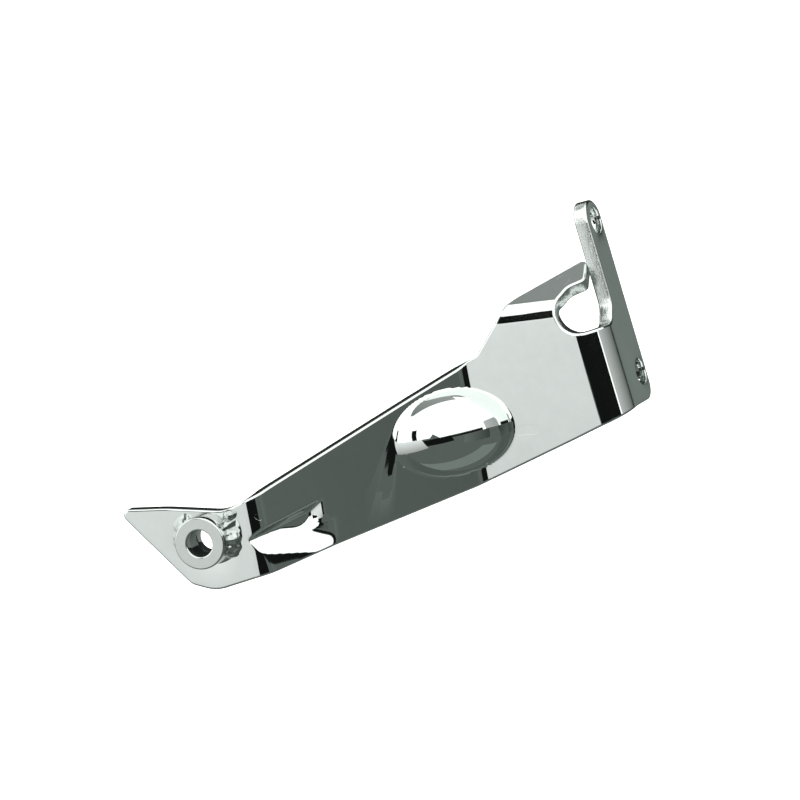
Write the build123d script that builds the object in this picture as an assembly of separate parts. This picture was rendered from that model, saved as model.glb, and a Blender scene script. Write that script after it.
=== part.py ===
from build123d import *
from math import cos, hypot, radians, sin, tan
import os

# Offset mounting bracket, millimetres.
# Origin: middle of the two bolt holes, on the mounting face of the flange.
# +X leaves the mounting face, +Z runs along the bolt line, -Y is the side that the arm shows.

# Pressed plate
THICK = 4.5  # plate thickness
ARM_FRONT = -22.0  # Y of the front face of the arm beside the flange
FLANGE_END = 5.4  # Y of the far edge of the flange
FLANGE_BEND = 9.5  # outer radius of the flange bend
HOLE_SPACING = 48.0  # two bolts
HOLE_R = 4.2  # M8 clearance

# The two bends that set the arm off to the front
OFFSET_ANGLE = 42.0  # degrees at each bend
BEND_TILT = 6.0  # degrees, lean of the bend lines from +Z toward +X
MIDDLE_RUN = 75.0  # length of the sloping middle, corner to corner
INNER_BEND = 5.0  # radius on the inside of each bend
OUTER_BEND = INNER_BEND + THICK
BEND_X = -48.6  # the first bend line crosses here ...
BEND_Z = -25.0  # ... at this height

# Folded strip above the flange bend
FOLD_X = -13.9  # a point of the fold line
FOLD_Z = 1.4
FOLD_SLOPE = 7.5  # degrees, fold line falls toward +X
FOLD_ANGLE = 57.0  # degrees that the strip leans back
FOLD_OUTER = 7.0
STRIP_TALL = 26.0
STRIP_END = -5.5  # X where the strip stops, clear of the ear

# Ear of the flange, beside the upper bolt
EAR_EDGE = -7.0  # Y of its near edge
EAR_TOP = 30.6

# Relief window through the corner of the bends
WINDOW_R = 8.5
WINDOW_X = -5.0
WINDOW_Z = 0.8

# Stiffening dome over the first bend
DOME_LONG = 20.0
DOME_TALL = 13.6
DOME_DEEP = 10.0
DOME_AT = (-52.0, -27.5, -25.6)
DOME_LONG_DIR = (0.869, 0.478, -0.12)
DOME_OUT_DIR = (0.482, -0.876, 0.0)

# Stiffening pocket over the second bend
POCKET_SMALL = 2.7
POCKET_BIG = 9.2
POCKET_END_R = 2.5  # round at the blind end
POCKET_FROM = (-110.9, -73.9, -37.6)
POCKET_TO = (-86.7, -62.3, -38.6)

# Turned bush and its welds
BUSH_R = 8.0
BORE_R = 4.1
BUSH_TALL = 8.0
BUSH_X = -121.9
BUSH_Z = -33.3
LEFT_START = 118.0  # degrees about the bush, from +X toward +Z
LEFT_SWEEP = 62.0
LEFT_LEG = 4.2
RIGHT_START = -60.0
RIGHT_SWEEP = 92.0
RIGHT_LEG = 3.0

tilt = radians(BEND_TILT)
swing = radians(OFFSET_ANGLE)
TIP_FRONT = ARM_FRONT - MIDDLE_RUN * sin(swing)


def prism(plane, points, depth):
    """A closed outline drawn on a plane and run both ways from it."""
    return extrude(plane * make_face(Polyline(*points, close=True)), amount=depth, both=True)


def rounded(face, corner, radius):
    """Round the corner of a face that lies nearest to a given point."""
    nearest = face.vertices().sort_by_distance(corner)[0]
    return fillet(nearest, radius)


# ---- arm: the two-bend section, run along the tilted bend line ----
section_plane = Plane(
    origin=(BEND_X, ARM_FRONT, BEND_Z),
    x_dir=(cos(tilt), 0, -sin(tilt)),
    z_dir=(sin(tilt), 0, cos(tilt)),
)
SECTION_RIGHT = 34.0
SECTION_LEFT = 48.0
SECTION_HALF = 60.0
SIDE_ROOM = 60.0
shift = THICK * tan(swing / 2)
second = (-MIDDLE_RUN * cos(swing), -MIDDLE_RUN * sin(swing))
tip_end = (second[0] - SECTION_LEFT, second[1])
front_line = [(SECTION_RIGHT, 0), (0, 0), second, tip_end]
back_line = [(tip_end[0], second[1] + THICK), (second[0] - shift, second[1] + THICK), (-shift, THICK)]
section = make_face(Polyline(*front_line, *back_line, (SECTION_RIGHT, THICK), close=True))
section = rounded(section, (0, 0), INNER_BEND)
section = rounded(section, (-shift, THICK), OUTER_BEND)
section = rounded(section, second, OUTER_BEND)
section = rounded(section, (second[0] - shift, second[1] + THICK), INNER_BEND)
arm_slab = extrude(section_plane * section, amount=SECTION_HALF, both=True)

# Everything on the back of the arm's mid-surface, used to trim the dome and the pocket
mid_line = [(x - shift / 2, y + THICK / 2) for x, y in front_line]
back_room = [(tip_end[0], SIDE_ROOM), (SECTION_RIGHT, SIDE_ROOM)]
behind = prism(section_plane, mid_line + back_room, SECTION_HALF)

# ---- flange: an L section run upright ----
corner_section = make_face(
    Polyline(
        (-44, ARM_FRONT),
        (0, ARM_FRONT),
        (0, FLANGE_END),
        (-THICK, FLANGE_END),
        (-THICK, ARM_FRONT + THICK),
        (-44, ARM_FRONT + THICK),
        close=True,
    )
)
corner_section = rounded(corner_section, (0, ARM_FRONT), FLANGE_BEND)
corner_section = rounded(corner_section, (-THICK, ARM_FRONT + THICK), FLANGE_BEND - THICK)
corner_slab = extrude(corner_section, amount=SIDE_ROOM, both=True)

# Side outline of the flange: rounded foot, and the ear with a full-radius end
ear_r = (FLANGE_END - EAR_EDGE) / 2
ear_y = FLANGE_END - ear_r
FOOT_Z = -33.0
FOOT_R = 5.0
FRONT_ROOM = -100.0  # Y well in front of the tip
side = make_face(
    Polyline(
        (FRONT_ROOM, -SIDE_ROOM),
        (FLANGE_END - FOOT_R, -SIDE_ROOM),
        (FLANGE_END - FOOT_R, FOOT_Z),
        (FLANGE_END, FOOT_Z + FOOT_R),
        (FLANGE_END, EAR_TOP - ear_r),
        (EAR_EDGE, EAR_TOP - ear_r),
        (EAR_EDGE, WINDOW_Z),
        (FRONT_ROOM, WINDOW_Z),
        close=True,
    )
)
side += Pos(FLANGE_END - FOOT_R, FOOT_Z + FOOT_R) * Circle(FOOT_R)
side += Pos(ear_y, EAR_TOP - ear_r) * Circle(ear_r)
ARM_LONG = 160.0
side_prism = extrude(Plane.YZ * side, amount=ARM_LONG, both=True)

# ---- front outline of the plate ----
slope = radians(FOLD_SLOPE)
fold_tangent = FOLD_OUTER * tan(radians(FOLD_ANGLE) / 2)


def below_fold(x, drop):
    """Height of a point under the fold line at a given X."""
    return FOLD_Z - (x - FOLD_X) * tan(slope) - drop


LOWER_EDGE = [(0, FOOT_Z), (-6.5, -33.9), (-18.5, -37.0), (-50.6, -43.3), (-88, -46.7), (-113, -49.6)]
TIP = [(-120, -50.0), (-126.5, -48.6), (-131, -46.4), (-146.2, -22.5), (-146.6, -20.4), (-143.6, -18.4)]
UPPER_EDGE = [(-132.7, -20.7), (-118, -24.9), (-109.5, -25.0), (-102.5, -22.3), (-78.5, -14.9), (-62.7, -9.9)]
NEAR_BEND = [(-53.4, -6.8), (-47.5, -5.4), (-42.5, -4.0), (-39.2, -1.6)]
front_points = LOWER_EDGE + TIP + UPPER_EDGE + NEAR_BEND
front_points += [(-36.9, below_fold(-36.9, fold_tangent)), (STRIP_END, below_fold(STRIP_END, fold_tangent))]
front_points += [(STRIP_END, EAR_TOP + 1), (0, EAR_TOP + 1)]
front_plane = Plane(origin=(0, 0, 0), x_dir=(1, 0, 0), z_dir=(0, -1, 0))
FRONT_DEPTH = 100.0
front_prism = prism(front_plane, front_points, FRONT_DEPTH)

# ---- strip folded back above the flange bend ----
lean = radians(FOLD_ANGLE)
fold_plane = Plane(
    origin=(FOLD_X, ARM_FRONT, FOLD_Z),
    x_dir=(0, 1, 0),
    z_dir=(cos(slope), 0, -sin(slope)),
)
STRIP_FOOT = -9.0
top = (STRIP_TALL * sin(lean), STRIP_TALL * cos(lean))
back_top = (top[0] + THICK * cos(lean), top[1] - THICK * sin(lean))
back_fold = (THICK, -THICK * tan(lean / 2))
strip_section = make_face(
    Polyline((0, STRIP_FOOT), (0, 0), top, back_top, back_fold, (THICK, STRIP_FOOT), close=True)
)
strip_section = rounded(strip_section, (0, 0), FOLD_OUTER)
strip_section = rounded(strip_section, back_fold, FOLD_OUTER - THICK)
strip = extrude(fold_plane * strip_section, amount=30, both=True)

# Its upper edge climbs toward the ear; the cut is square to the strip's face
strip_face = Plane(
    origin=(FOLD_X, ARM_FRONT, FOLD_Z),
    x_dir=(cos(slope), 0, -sin(slope)),
    z_dir=(sin(slope) * sin(lean), -cos(lean), cos(slope) * sin(lean)),
)
EDGE_LEFT = (-20.5, 3.0)
EDGE_RIGHT = (9.5, 26.0)
above_edge = [EDGE_LEFT, EDGE_RIGHT, (EDGE_RIGHT[0], 60), (-60, 60), (-60, EDGE_LEFT[1])]
strip -= prism(strip_face, above_edge, 12)
strip_outline = [(-39.2, -1.6), (-32.5, 4.2), (-31.0, 8), (-31.0, 30), (STRIP_END, 30), (STRIP_END, -12), (-39.2, -12)]
strip &= prism(front_plane, strip_outline, FRONT_DEPTH)

# ---- the plate in one piece ----
plate = (arm_slab + corner_slab) & side_prism
plate = plate & front_prism
plate = plate + strip
window = Pos(WINDOW_X, (ARM_FRONT + EAR_EDGE) / 2 - 5, WINDOW_Z) * Rot(90, 0, 0)
plate -= window * Cylinder(WINDOW_R, EAR_EDGE - ARM_FRONT + 10)

# Dome: an even-walled ellipsoid shell standing out of the front
dome_plane = Plane(origin=DOME_AT, x_dir=DOME_LONG_DIR, z_dir=DOME_OUT_DIR)


RIM_WALL = 2.5  # the sheet thins where it is drawn over the dome's rim
dome_skin = dome_plane * scale(Sphere(1), by=(DOME_LONG, DOME_TALL, DOME_DEEP))
dome_hollow = scale(Sphere(1), by=(DOME_LONG - RIM_WALL, DOME_TALL - RIM_WALL, DOME_DEEP))
dome_hollow = dome_plane.offset(-THICK) * dome_hollow
plate = plate + (dome_skin - behind)
plate -= dome_hollow

# Pocket: a cone sunk into the front, with the same wall raised on the back
reach = hypot(*[b - a for a, b in zip(POCKET_FROM, POCKET_TO)])
pocket_dir = [b - a for a, b in zip(POCKET_FROM, POCKET_TO)]
pocket_plane = Plane(origin=POCKET_FROM, z_dir=pocket_dir)
ALIGN_LOW = (Align.CENTER, Align.CENTER, Align.MIN)


def pocket_solid(wall):
    """The pocket's cone with its rounded blind end, grown by a wall thickness."""
    cone = Cone(POCKET_SMALL + wall, POCKET_BIG + wall, reach + wall, align=ALIGN_LOW)
    rim = cone.edges().filter_by(GeomType.CIRCLE).sort_by(Axis.Z)[-1]
    return pocket_plane * fillet(rim, POCKET_END_R + wall)


plate = plate + (pocket_solid(THICK) & behind)
plate -= pocket_solid(0)

# Bolt holes, and the bore that runs on through the bush
for z in (-HOLE_SPACING / 2, HOLE_SPACING / 2):
    plate -= Pos(-THICK / 2, 0, z) * Rot(0, 90, 0) * Cylinder(HOLE_R, THICK * 2)
bush_axis = Plane(origin=(BUSH_X, TIP_FRONT, BUSH_Z), x_dir=(1, 0, 0), z_dir=(0, -1, 0))
plate -= bush_axis * Cylinder(BORE_R, THICK * 3)

# ---- bush ----
CHAMFER = 0.5
bush = Cylinder(BUSH_R, BUSH_TALL, align=ALIGN_LOW)
bush = chamfer(bush.edges().filter_by(GeomType.CIRCLE).sort_by(Axis.Z)[-1], CHAMFER)
bush -= Cylinder(BORE_R, BUSH_TALL * 3)
bush = bush_axis * bush


# ---- weld beads around the foot of the bush ----
def weld(start, sweep, leg):
    """A fillet bead on the foot of the bush, swept through an angle about its axis."""
    bead = make_face(
        [
            Line((BUSH_R, 0), (BUSH_R + leg, 0)),
            ThreePointArc((BUSH_R + leg, 0), (BUSH_R + leg * 0.62, leg * 0.62), (BUSH_R, leg)),
            Line((BUSH_R, leg), (BUSH_R, 0)),
        ]
    )
    ring = revolve(Plane.XZ * bead, axis=Axis.Z, revolution_arc=sweep)
    return bush_axis * Rot(0, 0, start) * ring


weld_left = weld(LEFT_START, LEFT_SWEEP, LEFT_LEG)
weld_right = weld(RIGHT_START, RIGHT_SWEEP, RIGHT_LEG)

# ---- files ----
parts = {"arm_plate": plate, "bush": bush, "weld_left": weld_left, "weld_right": weld_right}
os.makedirs("parts", exist_ok=True)
for name, shape in parts.items():
    solids = shape.solids().sort_by(SortBy.VOLUME)
    export_step(solids[-1], f"parts/{name}.step")
    print(name, len(solids), [round(s.volume, 1) for s in solids], shape.bounding_box())
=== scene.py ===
import bmesh
import bpy
from math import atan2, ceil, cos, hypot, pi, radians, sin, sqrt, tan
from mathutils import Matrix, Vector, noise


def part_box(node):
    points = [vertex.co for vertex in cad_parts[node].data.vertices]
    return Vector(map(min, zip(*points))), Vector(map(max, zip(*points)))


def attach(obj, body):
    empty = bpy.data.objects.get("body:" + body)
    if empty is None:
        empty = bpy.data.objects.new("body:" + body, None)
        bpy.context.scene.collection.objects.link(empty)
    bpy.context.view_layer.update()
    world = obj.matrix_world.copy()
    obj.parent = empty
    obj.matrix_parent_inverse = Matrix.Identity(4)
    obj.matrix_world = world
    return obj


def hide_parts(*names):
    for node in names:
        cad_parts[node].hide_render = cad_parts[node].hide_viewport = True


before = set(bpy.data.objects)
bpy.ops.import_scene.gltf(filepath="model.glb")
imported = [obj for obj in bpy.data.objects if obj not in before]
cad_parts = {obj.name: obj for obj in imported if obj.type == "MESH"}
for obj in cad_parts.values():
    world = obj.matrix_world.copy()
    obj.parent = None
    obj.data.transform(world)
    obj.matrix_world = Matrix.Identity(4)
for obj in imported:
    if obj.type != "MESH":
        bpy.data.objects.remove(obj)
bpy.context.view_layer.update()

# ---------------------------------------------------------------------------
# Arm plate: 4.5 mm steel, blanked and pierced, bent and pressed, then polished and chrome plated.
# It is drawn as the flat blank with its edges already rounded, cut finely where it bends, and
# folded up. A point of the blank is (across, depth under the front face, up), in millimetres.
MM = 0.001
plate_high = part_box("arm_plate")[1]
HALF = 4.5 / 2
EDGE_ROUND = 0.65
ROUND_STEPS = 4
FLAT_MARGIN = 0.08
STEP = 0.6

# The first bend swings the arm away from the viewer and the second brings it back, TILT off upright
ARM_FRONT = -22.0
BEND_MID = 5.0 + HALF
SWING = radians(42)
TILT = radians(6)
BEND_REACH = 5.0 * tan(SWING / 2)
FIRST_BEND = (-48.6 + BEND_REACH * cos(TILT), -25.0 - BEND_REACH * sin(TILT))
ARC = BEND_MID * SWING
MIDDLE = 75.0 - 2 * BEND_MID * tan(SWING / 2)
TIP_RUN = 2 * ARC + MIDDLE

# The strip folded back along the upper edge, and the flange
FOLD_START = (-13.9, 0.2)
FOLD_SLOPE = radians(7.5)
FOLD_MID = 7.0 - HALF
FOLD_LEAN = radians(57)
FOLD_LEFT, FOLD_RIGHT, FOLD_LOW = -46, -2, -3
FLANGE_START = -9.5
FLANGE_MID = 9.5 - HALF
FLANGE_END = FLANGE_START + FLANGE_MID * pi / 2
BOLTS_ACROSS = FLANGE_END + 12.5

# Corners of the blank: across, up, corner radius. The flange is at the right, the tip at the left.
FLANGE_FAR = BOLTS_ACROSS + plate_high.y / MM
EAR_NEAR = FLANGE_FAR - 12.4
EAR_TOP = plate_high.z / MM
CORNERS = [
    (FLANGE_FAR, -33, 5),
    (1.9, -33, 40),
    (-18.5, -37.1, 60),
    (-50.6, -43.1, 60),
    (-102.9, -45.0, 90),
    (-122.7, -46.3, 60),
    (-143.0, -47.4, 12),
    (-150.2, -43.6, 6),
    (-167.3, -15.9, 1.9),
    (-151.4, -19.2, 60),
    (-133.2, -24.4, 12),
    (-127.5, -23.2, 14),
    (-119.6, -21.2, 60),
    (-67.5, -10.4, 60),
    (-48.4, -6.6, 12),
    (-41.5, -4.8, 4),
    (-33.5, 2.6, 30),
    (-26.9, 8.2, 30),
    (-3.7, 20.6, 1.6),
    (-3.8, 10.4, 1.6),
    (-9.2, 8.6, 4),
    (-13.4, 2.2, 6),
    (-12.4, -6.3, 7),
    (2.4, -6.5, 5),
    (EAR_NEAR, -1.0, 5),
    (EAR_NEAR, EAR_TOP, 6.15),
    (FLANGE_FAR, EAR_TOP, 6.15),
]


def rounded_outline(corners, step):
    """Points along a closed outline whose corners are replaced by arcs."""
    path = []
    for i, (x, z, radius) in enumerate(corners):
        here = Vector((x, z))
        before = (Vector(corners[i - 1][:2]) - here).normalized()
        after = (Vector(corners[(i + 1) % len(corners)][:2]) - here).normalized()
        half_turn = (pi - before.angle(after)) / 2
        if half_turn < 0.02:
            path.append(here)
            continue
        reach = radius * tan(half_turn)
        middle = here + (before + after).normalized() * radius / cos(half_turn)
        first = here + before * reach - middle
        last = here + after * reach - middle
        count = max(2, ceil(2 * half_turn * radius / step))
        for k in range(count + 1):
            turn, full = 2 * half_turn * k / count, 2 * half_turn
            path.append(middle + (first * sin(full - turn) + last * sin(turn)) / sin(full))
    points = []
    for a, b in zip(path, path[1:] + path[:1]):
        pieces = max(1, round((b - a).length / step))
        points += [a.lerp(b, k / pieces) for k in range(pieces)]
    return points


def arm_line(run):
    """A point and the normal of the line across the arm, a run past the first bend's start."""
    point = Vector((FIRST_BEND[0] - run * cos(TILT), 0, FIRST_BEND[1] + run * sin(TILT)))
    return point, Vector((-cos(TILT), 0, sin(TILT)))


def arm_row(up):
    """A point and the normal of the line along the arm, a given distance up the bend line."""
    point = Vector((FIRST_BEND[0] + up * sin(TILT), 0, FIRST_BEND[1] + up * cos(TILT)))
    return point, Vector((sin(TILT), 0, cos(TILT)))


def everything(mesh):
    return mesh.verts[:] + mesh.edges[:] + mesh.faces[:]


def with_edges(faces):
    """Faces together with their corners and edges."""
    verts = {v for f in faces for v in f.verts}
    return list(verts) + list({e for f in faces for e in f.edges}) + faces


def cut(mesh, geometry, line):
    """Cut along a line of the blank; gives back the geometry that was cut."""
    point, normal = line
    return bmesh.ops.bisect_plane(
        mesh, geom=geometry, dist=0.0005, plane_co=point, plane_no=normal
    )["geom"]


def spaced(low, high, step):
    """Even steps from low to high, none longer than the step."""
    count = ceil((high - low) / step)
    return [low + (high - low) * k / count for k in range(count + 1)]


blank = bmesh.new()
rim = [blank.verts.new((p.x, EDGE_ROUND, p.y)) for p in rounded_outline(CORNERS, STEP)]
blank.faces.new(rim)

# Two bolt holes in the flange, and the bore under the bush: across, up, radius
bush_low, bush_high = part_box("bush")
bush_x = (bush_low.x + bush_high.x) / 2 / MM
bush_z = (bush_low.z + bush_high.z) / 2 / MM
TIP_ASIDE = -2 * BEND_MID * sin(SWING) - MIDDLE * cos(SWING)


def on_tip(x, z):
    """Blank position of a point of the tip, from its place in the finished bracket."""
    aside = (x - FIRST_BEND[0]) * cos(TILT) - (z - FIRST_BEND[1]) * sin(TILT)
    up = (x - FIRST_BEND[0]) * sin(TILT) + (z - FIRST_BEND[1]) * cos(TILT)
    point = arm_line(TIP_RUN + TIP_ASIDE - aside)[0]
    return point.x + up * sin(TILT), point.z + up * cos(TILT)


BORE = 4.1
HOLES = [(BOLTS_ACROSS, 24.0, 4.2), (BOLTS_ACROSS, -24.0, 4.2), (*on_tip(bush_x, bush_z), BORE)]
for face in blank.faces:
    face.normal_update()
turned = [f for f in blank.faces if f.normal.y > 0]
bmesh.ops.reverse_faces(blank, faces=turned)

# Rounded edges, then a narrow flat margin that keeps the face's shading true
inner = blank.faces[:]
for k in range(ROUND_STEPS):
    now = pi / 2 * k / ROUND_STEPS
    then = pi / 2 * (k + 1) / ROUND_STEPS
    bmesh.ops.inset_region(
        blank,
        faces=inner,
        thickness=EDGE_ROUND * (cos(now) - cos(then)),
        depth=EDGE_ROUND * (sin(then) - sin(now)),
        use_boundary=True,
        use_even_offset=True,
    )
bmesh.ops.inset_region(
    blank, faces=inner, thickness=FLAT_MARGIN, use_boundary=True, use_even_offset=True
)

# Fine cuts across every bend, and a fine net where the dome and the pocket are pressed
BEND_CUT = 0.6
MARGIN = 0.5
NET = 0.5
DOME_RUN = (-16.0, 30.0)
DOME_UP = (-19.0, 17.0)
POCKET_RUN = (44.0, TIP_RUN + 4.0)
POCKET_UP = (-31.0, -8.0)


def part_between(mesh, low, high):
    """The geometry of the blank between two lines across the arm."""
    start, direction = arm_line(0)
    runs = {f: (f.calc_center_median() - start).dot(direction) for f in mesh.faces}
    return with_edges([f for f in mesh.faces if low - 0.01 < runs[f] < high + 0.01])


for run in (DOME_RUN[0], DOME_RUN[1], POCKET_RUN[0], POCKET_RUN[1]):
    cut(blank, everything(blank), arm_line(run))
for runs, ups in ((DOME_RUN, DOME_UP), (POCKET_RUN, POCKET_UP)):
    zone = part_between(blank, *runs)
    for run in spaced(*runs, NET)[1:-1]:
        zone = cut(blank, zone, arm_line(run))
    for up in spaced(*ups, NET):
        zone = cut(blank, zone, arm_row(up))
for across in spaced(FLANGE_START - MARGIN, FLANGE_END + MARGIN, BEND_CUT):
    cut(blank, everything(blank), (Vector((across, 0, 0)), Vector((1, 0, 0))))
fold_up = Vector((sin(FOLD_SLOPE), 0, cos(FOLD_SLOPE)))
fold_point = Vector((FOLD_START[0], 0, FOLD_START[1]))


def folded_faces(mesh, over=float("-inf")):
    """The faces over the arm's middle that lie further over than a line along the fold."""
    middles = {f: f.calc_center_median() for f in mesh.faces}
    beside = [f for f in mesh.faces if FOLD_LEFT < middles[f].x < FOLD_RIGHT]
    return [f for f in beside if (middles[f] - fold_point).dot(fold_up) > over]


upper_strip = with_edges(folded_faces(blank))
cut(blank, upper_strip, (fold_point - fold_up * MARGIN, fold_up))
upper_strip = with_edges(folded_faces(blank, -MARGIN))
for over in spaced(-MARGIN, FOLD_MID * FOLD_LEAN + MARGIN, BEND_CUT):
    upper_strip = cut(blank, upper_strip, (fold_point + fold_up * over, fold_up))

# Each flat face with a hole is filled in again up to a circle, whose rim is rounded a little. A
# cut across the flange first gives its two holes a face each.
HOLE_ROUND = 0.10
HOLE_SIDES = 48
FLANGE_CUT = -4
cut(blank, everything(blank), (Vector((0, 0, FLANGE_CUT)), Vector((0, 0, 1))))
for x, z, radius in HOLES:
    centre = Vector((x, 0, z))
    host = next(f for f in blank.faces if bmesh.geometry.intersect_face_point(f, centre))
    border = host.edges[:]
    bmesh.ops.delete(blank, geom=[host], context="FACES_ONLY")
    circle = bmesh.ops.create_circle(blank, segments=HOLE_SIDES, radius=radius + HOLE_ROUND)
    place = Matrix.Translation(centre) @ Matrix.Rotation(pi / 2, 4, "X")
    bmesh.ops.transform(blank, matrix=place, verts=circle["verts"])
    ring = [e for e in blank.edges if e.is_wire and e not in border]
    bmesh.ops.triangle_fill(blank, edges=border + ring, use_beauty=True)
    for inward_by, down in ((0.02, 0.005), (0.045, 0.025), (0.035, 0.07)):
        new = bmesh.ops.extrude_edge_only(blank, edges=ring)["geom"]
        verts = [g for g in new if isinstance(g, bmesh.types.BMVert)]
        ring = [g for g in new if isinstance(g, bmesh.types.BMEdge) and g.is_boundary]
        for v in verts:
            off = Vector((v.co.x - x, v.co.z - z))
            off *= 1 - inward_by / off.length
            v.co = (x + off.x, v.co.y + down, z + off.y)

# The side walls and the back: the front sheet mirrored about the middle of the thickness
open_edges = [e for e in blank.edges if e.is_boundary]
for v in bmesh.ops.extrude_edge_only(blank, edges=open_edges)["geom"]:
    if isinstance(v, bmesh.types.BMVert):
        v.co.y = HALF
back = bmesh.ops.duplicate(blank, geom=everything(blank))["geom"]
back_verts = [g for g in back if isinstance(g, bmesh.types.BMVert)]
back_faces = [g for g in back if isinstance(g, bmesh.types.BMFace)]
middle_plane = Matrix.Translation((0, -HALF, 0))
bmesh.ops.scale(blank, vec=(1, -1, 1), space=middle_plane, verts=back_verts)
bmesh.ops.reverse_faces(blank, faces=back_faces)
seam = [v for v in blank.verts if abs(v.co.y - HALF) < 0.001]
bmesh.ops.remove_doubles(blank, verts=seam, dist=0.001)


def bent(x, z, out):
    """Where a point of the blank lies once bent; out is its height over the sheet's middle."""
    run = (FIRST_BEND[0] - x) * cos(TILT) + (z - FIRST_BEND[1]) * sin(TILT)
    up = (x - FIRST_BEND[0]) * sin(TILT) + (z - FIRST_BEND[1]) * cos(TILT)
    middle_y = ARM_FRONT + HALF
    if run > 0:
        turn = min(run / BEND_MID, SWING)
        aside = -BEND_MID * sin(turn)
        away = -BEND_MID * (1 - cos(turn))
        straight = min(max(run - ARC, 0), MIDDLE)
        aside -= straight * cos(SWING)
        away -= straight * sin(SWING)
        back_turn = min(max(run - ARC - MIDDLE, 0) / BEND_MID, SWING)
        turn -= back_turn
        aside -= BEND_MID * (sin(turn + back_turn) - sin(turn))
        away -= BEND_MID * (cos(turn) - cos(turn + back_turn))
        aside -= max(run - TIP_RUN, 0)
        aside += out * sin(turn)
        away -= out * cos(turn)
        across = FIRST_BEND[0] + aside * cos(TILT) + up * sin(TILT)
        height = FIRST_BEND[1] - aside * sin(TILT) + up * cos(TILT)
        return Vector((across, middle_y + away, height))
    over = (x - FOLD_START[0]) * sin(FOLD_SLOPE) + (z - FOLD_START[1]) * cos(FOLD_SLOPE)
    if over > 0 and x < FOLD_RIGHT and z > FOLD_LOW:
        turn = min(over / FOLD_MID, FOLD_LEAN)
        straight = over - turn * FOLD_MID
        rise = FOLD_MID * sin(turn) + straight * cos(turn) + out * sin(turn)
        away = FOLD_MID * (1 - cos(turn)) + straight * sin(turn) - out * cos(turn)
        foot = Vector((x, middle_y, z)) - fold_up * over
        return foot + fold_up * rise + Vector((0, away, 0))
    turn = min(max(x - FLANGE_START, 0) / FLANGE_MID, pi / 2)
    straight = max(x - FLANGE_END, 0)
    across = min(x, FLANGE_START) + FLANGE_MID * sin(turn) + out * sin(turn)
    away = FLANGE_MID * (1 - cos(turn)) + straight - out * cos(turn)
    return Vector((across, middle_y + away, z))


def soft_min(a, b, reach):
    """The smaller of two heights, with the corner between them rounded over a reach."""
    share = min(max(0.5 + 0.5 * (b - a) / reach, 0), 1)
    return b * (1 - share) + a * share - reach * share * (1 - share)


# Dome: an ellipsoid cap standing out over the first bend
DOME_LONG = Vector((0.870, 0.478, -0.12)).normalized()
DOME_OUT = Vector((0.482, -0.876, 0)).normalized()
DOME_TALL = DOME_OUT.cross(DOME_LONG)
DOME_AT = Vector((-55.3, -25.5, -25.1))
DOME_RADII = (19.8, 12.9, 13.6)
DOME_BLEND = 2.6


def dome_lift(point):
    """How far the dome is pressed out at a point of the bent front face."""
    off = point - DOME_AT
    long_share, tall_share = off.dot(DOME_LONG) / DOME_RADII[0], off.dot(DOME_TALL) / DOME_RADII[1]
    inside = 1 - long_share**2 - tall_share**2
    if inside <= 0:
        return 0
    lift = DOME_RADII[2] * sqrt(inside) - off.dot(DOME_OUT)
    return -soft_min(-lift, 0, DOME_BLEND)


# Pocket: sunk across the second bend. Its lines are (along, up) pairs on the sloping middle: the
# lip above, the end wall, the low edge and the gentle hem under it.
SLOPE_LEFT = Vector((-cos(TILT) * cos(SWING), -sin(SWING), sin(TILT) * cos(SWING)))
SLOPE_UP = Vector((sin(TILT), 0, cos(TILT)))
SLOPE_OUT = SLOPE_UP.cross(SLOPE_LEFT)
SLOPE_OUT *= -1 if SLOPE_OUT.y > 0 else 1
SLOPE_AT = Vector((-48.6, ARM_FRONT, -25.0))
POCKET_DEEP = 3.2
POCKET_FLOOR = 4.9
FLANK_SLOPE = 0.34
FLANK_SKEW = 0.14
POCKET_LIP = ((55.0, -11.3), (78.3, -16.7))
POCKET_END = ((53.2, -14.0), (54.0, -26.0))
POCKET_LOW = ((55.0, -26.4), (79.0, -22.6))
POCKET_HEM = ((55.0, -26.8), (79.0, -27.2))


def inward(line, along, up, sense):
    """Distance of a point on the slope to one side of a line; sense is 1 or -1."""
    (a, b), (c, d) = line
    return sense * ((c - a) * (up - b) - (d - b) * (along - a)) / hypot(c - a, d - b)


def pocket_drop(point):
    """How far the pocket is sunk at a point of the bent front face, below zero."""
    off = point - SLOPE_AT
    along = off.dot(SLOPE_LEFT)
    up = off.dot(SLOPE_UP)
    height = off.dot(SLOPE_OUT)
    below = inward(POCKET_LIP, along, up, -1)
    flank_start = POCKET_FLOOR + FLANK_SKEW * (along - POCKET_LIP[0][0])
    flank = POCKET_DEEP - FLANK_SLOPE * (below - flank_start)
    beyond = inward(POCKET_END, along, up, 1)
    gentle = min(max((below - 4) / 3, 0), 1)
    end = beyond * (1 - gentle) + (beyond + 3) * 0.27 * gentle
    low = inward(POCKET_LOW, along, up, 1) * 0.5
    low = max(low, min(inward(POCKET_HEM, along, up, 1) * 0.09, 0.4))
    trough = soft_min(below * 1.5, POCKET_DEEP, 0.5)
    deep = soft_min(soft_min(trough, flank, 0.3), soft_min(low, end, 1.2), 0.8)
    if deep < -2.5:
        return 0
    return soft_min(height, -deep, 0.35) - height


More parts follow.
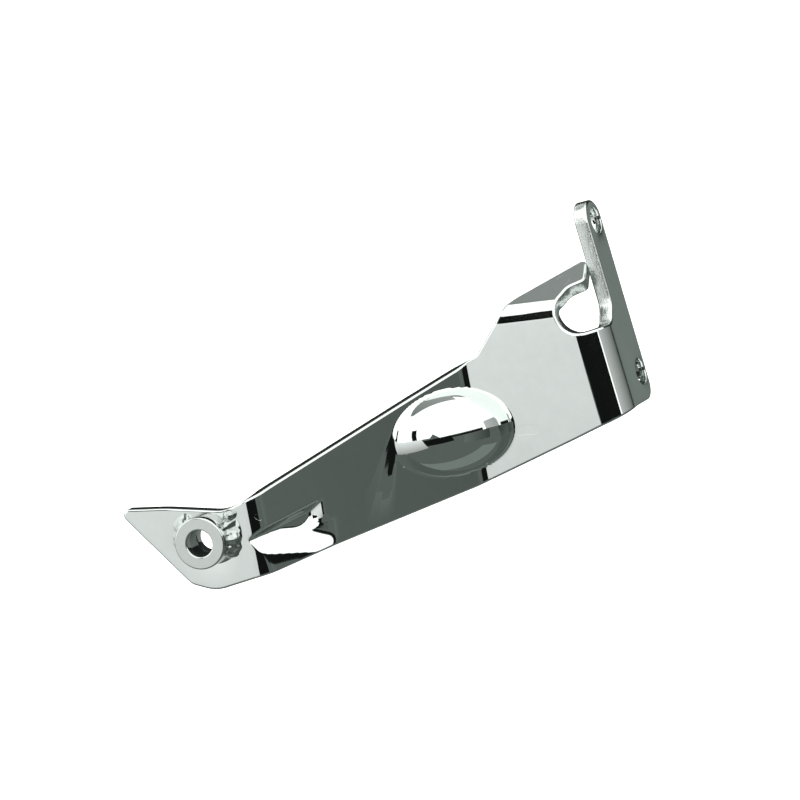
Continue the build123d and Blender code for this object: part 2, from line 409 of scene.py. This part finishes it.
# Fold the blank up. The cut edges round the window and the ear are marked, as they stay rough.
cut_edges = blank.verts.layers.float.new("cut_edge")
for v in blank.verts:
    x, deep, z = v.co
    v[cut_edges] = float(deep > 0.3 and -14 < x < FLANGE_FAR - 3 and z > -8)
    run = (FIRST_BEND[0] - x) * cos(TILT) + (z - FIRST_BEND[1]) * sin(TILT)
    v.co = bent(x, z, HALF - deep)
    if DOME_RUN[0] < run < DOME_RUN[1]:
        v.co += DOME_OUT * dome_lift(bent(x, z, HALF))
    if POCKET_RUN[0] < run < POCKET_RUN[1]:
        v.co += SLOPE_OUT * pocket_drop(bent(x, z, HALF))
bmesh.ops.scale(blank, vec=(MM, MM, MM), verts=blank.verts)
bmesh.ops.recalc_face_normals(blank, faces=blank.faces)
for face in blank.faces:
    face.smooth = True
plate_mesh = bpy.data.meshes.new("arm_plate_chrome")
blank.to_mesh(plate_mesh)
blank.free()
arm_plate = bpy.data.objects.new("arm_plate_chrome", plate_mesh)
bpy.context.scene.collection.objects.link(arm_plate)
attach(arm_plate, "root")
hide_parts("arm_plate")


class Maths:
    """A shader value that adds Math nodes when it is summed, multiplied or compared."""

    def __init__(self, material, socket):
        self.material, self.socket = material, socket

    def math(self, operation, *values):
        inputs = dict(enumerate(values))
        return node(self.material, "ShaderNodeMath", {"operation": operation}, inputs)

    def __add__(self, other):
        return self.math("ADD", self, other)

    def __mul__(self, other):
        return self.math("MULTIPLY", self, other)

    def __gt__(self, other):
        return self.math("GREATER_THAN", self, other)

    __radd__, __rmul__ = __add__, __mul__


def node(material, kind, settings, inputs, output=0):
    """Adds a node: its settings first, then its inputs as constants or links."""
    made = material.node_tree.nodes.new(kind)
    for name, value in settings.items():
        setattr(made, name, value)
    for name, value in inputs.items():
        if isinstance(value, Maths):
            material.node_tree.links.new(value.socket, made.inputs[name])
        else:
            made.inputs[name].default_value = value
    return Maths(material, made.outputs[output])


def connect(material, **values):
    """Sets the material's surface inputs; an underscore in a name stands for a space."""
    shader = material.node_tree.nodes["Principled BSDF"]
    for name, value in values.items():
        socket = shader.inputs[name.replace("_", " ")]
        if isinstance(value, Maths):
            material.node_tree.links.new(value.socket, socket)
        else:
            socket.default_value = value


def blend(material, share, first, second):
    """A colour between two, by share."""
    inputs = {0: share, 6: first, 7: second}
    return node(material, "ShaderNodeMix", {"data_type": "RGBA"}, inputs, 2)


def place_of(material):
    return node(material, "ShaderNodeTexCoord", {}, {}, "Object")


def stretched(material, place, scale):
    return node(material, "ShaderNodeMapping", {}, {"Vector": place, "Scale": scale})


def clouds(material, place, scale, detail=2.0, roughness=0.5):
    settings = {"Vector": place, "Scale": scale, "Detail": detail, "Roughness": roughness}
    return node(material, "ShaderNodeTexNoise", {}, settings)


plate_chrome = bpy.data.materials.new("plate_chrome")
plate_chrome.use_nodes = True
place = place_of(plate_chrome)
across = node(plate_chrome, "ShaderNodeSeparateXYZ", {}, {0: place}, "X")
cut_edge = node(plate_chrome, "ShaderNodeAttribute", {"attribute_name": "cut_edge"}, {}, "Fac")
on_flange = across > -0.0002
waves = clouds(plate_chrome, place, 32.0, 1.0)
film = clouds(plate_chrome, place, 260.0, 3.0, 0.6)
linishing = clouds(plate_chrome, stretched(plate_chrome, place, (1, 9, 0.6)), 420.0, 2.0, 0.7)
tears = clouds(plate_chrome, stretched(plate_chrome, place, (2.2, 1, 0.8)), 480.0, 4.0, 0.7)
pits = clouds(plate_chrome, place, 150.0, 0.0)
pit = (pits > 0.79) * -0.6
height = waves * 1.3 + film * 0.012 + pit * 0.05
height = height + on_flange * linishing * 0.045 + cut_edge * tears * 0.75
relief = {"Strength": 0.30, "Distance": 0.0006, "Height": height}
bump = node(plate_chrome, "ShaderNodeBump", {}, relief)
connect(
    plate_chrome,
    Base_Color=blend(plate_chrome, film, (0.74, 0.77, 0.755, 1), (0.82, 0.845, 0.83, 1)),
    Metallic=1.0,
    Roughness=film * 0.03 + 0.025 + on_flange * (linishing * 0.12 + 0.10) + cut_edge * 0.16,
    Normal=bump,
)
plate_mesh.materials.append(plate_chrome)

# ---------------------------------------------------------------------------
# Bush: a turned steel spacer, faced and bored, welded over the hole near the arm's tip so that a
# bolt can pass right through. Its edges are broken and it is plated with the plate.
bush_radius = (bush_high.x - bush_low.x) / 2
bush_bore = BORE * MM
bush_face = bush_low.y
bush_base = bush_high.y
bush_axis = Vector((bush_x * MM, 0, bush_z * MM))
turned_steel = bmesh.new()
profile = [
    turned_steel.verts.new(bush_axis + Vector((r, y, 0)))
    for r, y in (
        (bush_bore, bush_base),
        (bush_radius, bush_base),
        (bush_radius, bush_face),
        (bush_bore, bush_face),
    )
]
sides = [turned_steel.edges.new((a, b)) for a, b in zip(profile, profile[1:] + profile[:1])]
bmesh.ops.spin(
    turned_steel,
    geom=profile + sides,
    cent=bush_axis,
    axis=(0, 1, 0),
    angle=2 * pi,
    steps=96,
    use_merge=True,
    use_duplicate=False,
)
bmesh.ops.remove_doubles(turned_steel, verts=turned_steel.verts, dist=0.000001)
near_face = bush_face + 0.0001
front_edges = [e for e in turned_steel.edges if all(v.co.y < near_face for v in e.verts)]
bmesh.ops.bevel(
    turned_steel,
    geom=[e for e in front_edges if e.calc_face_angle(0) > 1],
    offset=0.00045,
    segments=4,
    profile=0.5,
    affect="EDGES",
    material=-1,
)
flats = [f for f in turned_steel.faces if abs(f.normal.y) > 0.99]
bmesh.ops.inset_region(turned_steel, faces=flats, thickness=0.00006, depth=0)
bmesh.ops.recalc_face_normals(turned_steel, faces=turned_steel.faces)
for face in turned_steel.faces:
    face.smooth = True
bush_mesh = bpy.data.meshes.new("bush_turned")
turned_steel.to_mesh(bush_mesh)
turned_steel.free()
bush = bpy.data.objects.new("bush_turned", bush_mesh)
bpy.context.scene.collection.objects.link(bush)

bush_chrome = bpy.data.materials.new("bush_chrome")
bush_chrome.use_nodes = True
place = place_of(bush_chrome)


def vector_math(material, operation, *values, output=0):
    inputs = dict(enumerate(values))
    return node(material, "ShaderNodeVectorMath", {"operation": operation}, inputs, output)


off_axis = vector_math(bush_chrome, "SUBTRACT", place, bush_axis)
flat_off = vector_math(bush_chrome, "MULTIPLY", off_axis, (1, 0, 1))
from_axis = vector_math(bush_chrome, "LENGTH", flat_off, output="Value")
depth_of = node(bush_chrome, "ShaderNodeSeparateXYZ", {}, {0: place}, "Y")
film = clouds(bush_chrome, place, 400.0, 3.0, 0.6)
feed = from_axis * 9000 + depth_of * 5200 + film * 1.5
grooves = feed.math("SINE", feed)
relief = {"Strength": 0.25, "Distance": 0.0001, "Height": grooves * 0.02 + film * 0.08}
bump = node(bush_chrome, "ShaderNodeBump", {}, relief)
connect(
    bush_chrome,
    Base_Color=blend(bush_chrome, film, (0.64, 0.665, 0.65, 1), (0.72, 0.745, 0.73, 1)),
    Metallic=1.0,
    Roughness=film * 0.06 + 0.09,
    Normal=bump,
)
bush_mesh.materials.append(bush_chrome)
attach(bush, "root")
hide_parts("bush")

# ---------------------------------------------------------------------------
# Weld beads: two short fillet runs that hold the bush to the plate, laid by hand before plating, so
# they are lumpy, glossy and uneven; the right-hand one ends in a small curled tack.


def fillet_bead(start, sweep, legs, lumps, seed):
    """A weld bead in the bush's foot: a bulged section swept round the bush, then rippled."""
    bead = bmesh.new()
    count = 14
    sunk_in = 0.0003
    corner = Vector((bush_radius - sunk_in, bush_base + sunk_in))
    section = [corner]
    for k in range(count + 1):
        turn = pi / 2 * k / count
        bulge = 1 - 0.16 * sin(2 * turn)
        section.append(corner + Vector((legs[0] * cos(turn), -legs[1] * sin(turn))) * bulge)
    verts = [
        bead.verts.new(bush_axis + Vector((p.x * cos(start), p.y, p.x * sin(start))))
        for p in section
    ]
    edges = [bead.edges.new((a, b)) for a, b in zip(verts, verts[1:] + verts[:1])]
    bmesh.ops.spin(
        bead,
        geom=verts + edges,
        cent=bush_axis,
        axis=(0, -1, 0),
        angle=sweep,
        steps=72,
        use_merge=False,
        use_duplicate=False,
    )
    bmesh.ops.holes_fill(bead, edges=[e for e in bead.edges if e.is_boundary], sides=0)
    for v in bead.verts:
        off = v.co - bush_axis
        angle = atan2(off.z, off.x)
        share = ((angle - start) % (2 * pi)) / sweep
        share = 0 if share > 1.5 else min(share, 1)
        ends = (1 - abs(2 * share - 1) ** 5) ** 0.5 * 0.94 + 0.06
        along = share * sweep * 0.0105
        ripple = 1 + lumps * (0.04 * sin(along * 2200 + seed) + 0.06 * sin(along * 1100 + 2 * seed))
        ripple += lumps * 0.26 * noise.noise(off * 300 + Vector((seed, 0, 0)))
        size = ends * ripple
        radial = Vector((off.x, 0, off.z)).normalized()
        radius = corner.x + (hypot(off.x, off.z) - corner.x) * size
        v.co = bush_axis + radial * radius
        v.co.y += corner.y + (off.y - corner.y) * size
    return bead


weld_chrome = bpy.data.materials.new("weld_chrome")
weld_chrome.use_nodes = True
place = place_of(weld_chrome)
film = clouds(weld_chrome, place, 900.0, 3.0, 0.6)
lumps = clouds(weld_chrome, place, 380.0, 1.0, 0.4)
# The bead's base colour runs from dark grey to pale grey in random patches.
tone_patches = clouds(weld_chrome, place, 300.0, 2.0, 0.5)
relief = {"Strength": 0.5, "Distance": 0.0004, "Height": lumps * 0.7 + film * 0.10}
bump = node(weld_chrome, "ShaderNodeBump", {}, relief)
connect(
    weld_chrome,
    Base_Color=blend(weld_chrome, tone_patches, (0.30, 0.33, 0.31, 1), (0.80, 0.82, 0.81, 1)),
    Metallic=1.0,
    Roughness=film * 0.10 + 0.05,
    Normal=bump,
)
# name, start, sweep round the bush, leg along the plate, leg up the bush, lumpiness, seed
BEADS = (
    ("weld_left", radians(112), radians(78), (0.0040, 0.0042), 0.5, 0.7),
    ("weld_right", radians(-58), radians(92), (0.0031, 0.0044), 1.0, 2.1),
)
TACK_TURN = radians(31)
TACK_OUT = 0.0104
tack_foot = bush_axis + Vector((0, bush_base - 0.0008, 0))
tack_at = tack_foot + TACK_OUT * Vector((cos(TACK_TURN), 0, sin(TACK_TURN)))
for node_name, start, sweep, legs, lumpy, seed in BEADS:
    bead = fillet_bead(start, sweep, legs, lumpy, seed)
    if node_name == "weld_right":
        tack = bmesh.ops.create_icosphere(bead, subdivisions=4, radius=0.0016)["verts"]
        squeeze = Matrix.Diagonal((1.2, 1.0, 1.1, 1))
        bmesh.ops.transform(bead, matrix=Matrix.Translation(tack_at) @ squeeze, verts=tack)
    bmesh.ops.recalc_face_normals(bead, faces=bead.faces)
    for face in bead.faces:
        face.smooth = True
    bead_mesh = bpy.data.meshes.new(node_name + "_bead")
    bead.to_mesh(bead_mesh)
    bead.free()
    bead_mesh.materials.append(weld_chrome)
    weld = bpy.data.objects.new(node_name + "_bead", bead_mesh)
    bpy.context.scene.collection.objects.link(weld)
    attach(weld, "root")
    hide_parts(node_name)

# ---------------------------------------------------------------------------
# Studio: the bracket hangs over a plain white floor. Polished chrome shows its surroundings, so a
# few soft white and grey boards and dark flags stand well away from it, out of the view.
STUDIO_CENTRE = Vector((-0.07, -0.035, -0.01))


def board(name, azimuths, elevations, first, second, direction, distance):
    """A board between two azimuths and two elevations, shaded from first to second."""
    a = radians(sum(azimuths) / 2)
    e = radians(sum(elevations) / 2)
    wide = radians(azimuths[1] - azimuths[0]) / 2
    tall = radians(elevations[1] - elevations[0]) / 2
    out = Vector((sin(a) * cos(e), -cos(a) * cos(e), sin(e)))
    sheet = bmesh.new()
    sheet.loops.layers.uv.new("sheet")
    bmesh.ops.create_grid(sheet, x_segments=1, y_segments=1, size=1, calc_uvs=True)
    bmesh.ops.scale(sheet, vec=(distance * tan(wide), distance * tan(tall), 1), verts=sheet.verts)
    turn = (-out).to_track_quat("Z", "Y").to_matrix().to_4x4()
    place = Matrix.Translation(STUDIO_CENTRE + out * distance) @ turn
    bmesh.ops.transform(sheet, matrix=place, verts=sheet.verts)
    sheet_mesh = bpy.data.meshes.new(name)
    sheet.to_mesh(sheet_mesh)
    sheet.free()
    made = bpy.data.objects.new(name, sheet_mesh)
    bpy.context.scene.collection.objects.link(made)
    paint = bpy.data.materials.new(name)
    paint.use_nodes = True
    uv = node(paint, "ShaderNodeUVMap", {"uv_map": "sheet"}, {})
    share = node(paint, "ShaderNodeSeparateXYZ", {}, {0: uv}, direction)
    colours = []
    for level in (first, second):
        green = 0.14 if level < 0.35 else 0.03
        colours.append((level * (1 - green), level, level * (1 - green / 2), 1))
    connect(
        paint,
        Base_Color=(0, 0, 0, 1),
        Roughness=1.0,
        Specular_IOR_Level=0.0,
        Emission_Color=blend(paint, share, colours[0], colours[1]),
        Emission_Strength=1.0,
    )
    sheet_mesh.materials.append(paint)
    made.visible_camera = False


# name, azimuths and elevations in degrees, level at the start and the end, shading along X (from
# the right) or Y (up), distance
BOARDS = (
    ("pale_board", (-72, -8), (-30, 3), 0.42, 1.02, "Y", 0.7),
    ("left_softbox", (-80, 10), (3, 80), 1.5, 1.5, "Y", 2.65),
    ("dark_flag", (-26, -17), (2, 33), 0.008, 0.008, "Y", 2.45),
    ("dark_gap", (-8, 30), (-20, -2), 0.008, 0.008, "Y", 2.42),
    ("dark_edge", (28, 72), (-9, -4), 0.008, 0.008, "Y", 2.4),
    ("overhead_softbox", (-40, 80), (56, 124), 1.5, 1.5, "Y", 3.1),
    ("softbox", (8, 100), (-2, 76), 1.5, 1.5, "Y", 2.6),
    ("thin_light", (72, 77), (-9, 12), 1.6, 1.6, "Y", 2.35),
    ("side_board", (77, 140), (-9, 14), 0.14, 0.6, "X", 2.7),
    ("side_flag", (138, 149), (-50, 50), 0.01, 0.01, "Y", 2.6),
    ("back_board", (149, 215), (-44, 0), 0.17, 0.24, "Y", 2.8),
    ("back_flag", (120, 235), (0, 50), 0.015, 0.05, "Y", 2.85),
    ("top_board", (200, 248), (58, 80), 0.20, 0.42, "X", 2.9),
    ("low_board", (-40, 40), (-112, -80), 0.24, 0.24, "Y", 2.3),
    ("right_board", (46, 82), (-34, -10.5), 0.06, 0.17, "X", 0.75),
)
for row in BOARDS:
    board(*row)

world = bpy.data.worlds.new("studio")
bpy.context.scene.world = world
world.use_nodes = True
seen = world.node_tree.nodes.new("ShaderNodeLightPath")
sky = world.node_tree.nodes.new("ShaderNodeMix")
sky.data_type = "RGBA"
sky.inputs[6].default_value = (0.118, 0.138, 0.127, 1)
sky.inputs[7].default_value = (1, 1, 1, 1)
world.node_tree.links.new(seen.outputs["Is Camera Ray"], sky.inputs[0])
world.node_tree.links.new(sky.outputs[2], world.node_tree.nodes["Background"].inputs["Color"])

ground = bmesh.new()
bmesh.ops.create_grid(ground, x_segments=1, y_segments=1, size=30)
bmesh.ops.translate(ground, vec=(0, 0, -0.06), verts=ground.verts)
ground_mesh = bpy.data.meshes.new("floor")
ground.to_mesh(ground_mesh)
ground.free()
floor = bpy.data.objects.new("floor", ground_mesh)
bpy.context.scene.collection.objects.link(floor)
floor_white = bpy.data.materials.new("floor_white")
floor_white.use_nodes = True
connect(
    floor_white,
    Base_Color=(0.9, 0.9, 0.9, 1),
    Roughness=0.9,
    Emission_Color=(1, 1, 1, 1),
    Emission_Strength=1.0,
)
ground_mesh.materials.append(floor_white)
floor.visible_glossy = False

# ---------------------------------------------------------------------------
# Camera: far off with a long lens, a little to the right of the arm's front and slightly above,
# and turned a little so that the flange leans over.
RIGHT = Vector((0.8994, 0.333, -0.2845)).normalized()
UP = Vector((0.2326, 0.183, 0.9545))
UP = (UP - RIGHT * UP.dot(RIGHT)).normalized()
BACK = RIGHT.cross(UP)
WIDTH = 0.2424
LENS = 500
SENSOR = 36
target = RIGHT * -0.0663 + UP * -0.0317 + BACK * 0.008
lens = bpy.data.cameras.new("camera")
lens.lens = LENS
lens.sensor_width = SENSOR
camera = bpy.data.objects.new("camera", lens)
bpy.context.scene.collection.objects.link(camera)
turn = Matrix((RIGHT, UP, BACK)).transposed().to_4x4()
camera.matrix_world = Matrix.Translation(target + BACK * WIDTH * LENS / SENSOR) @ turn
bpy.context.scene.camera = camera
bpy.context.scene.view_settings.view_transform = "Standard"

bpy.context.view_layer.update()
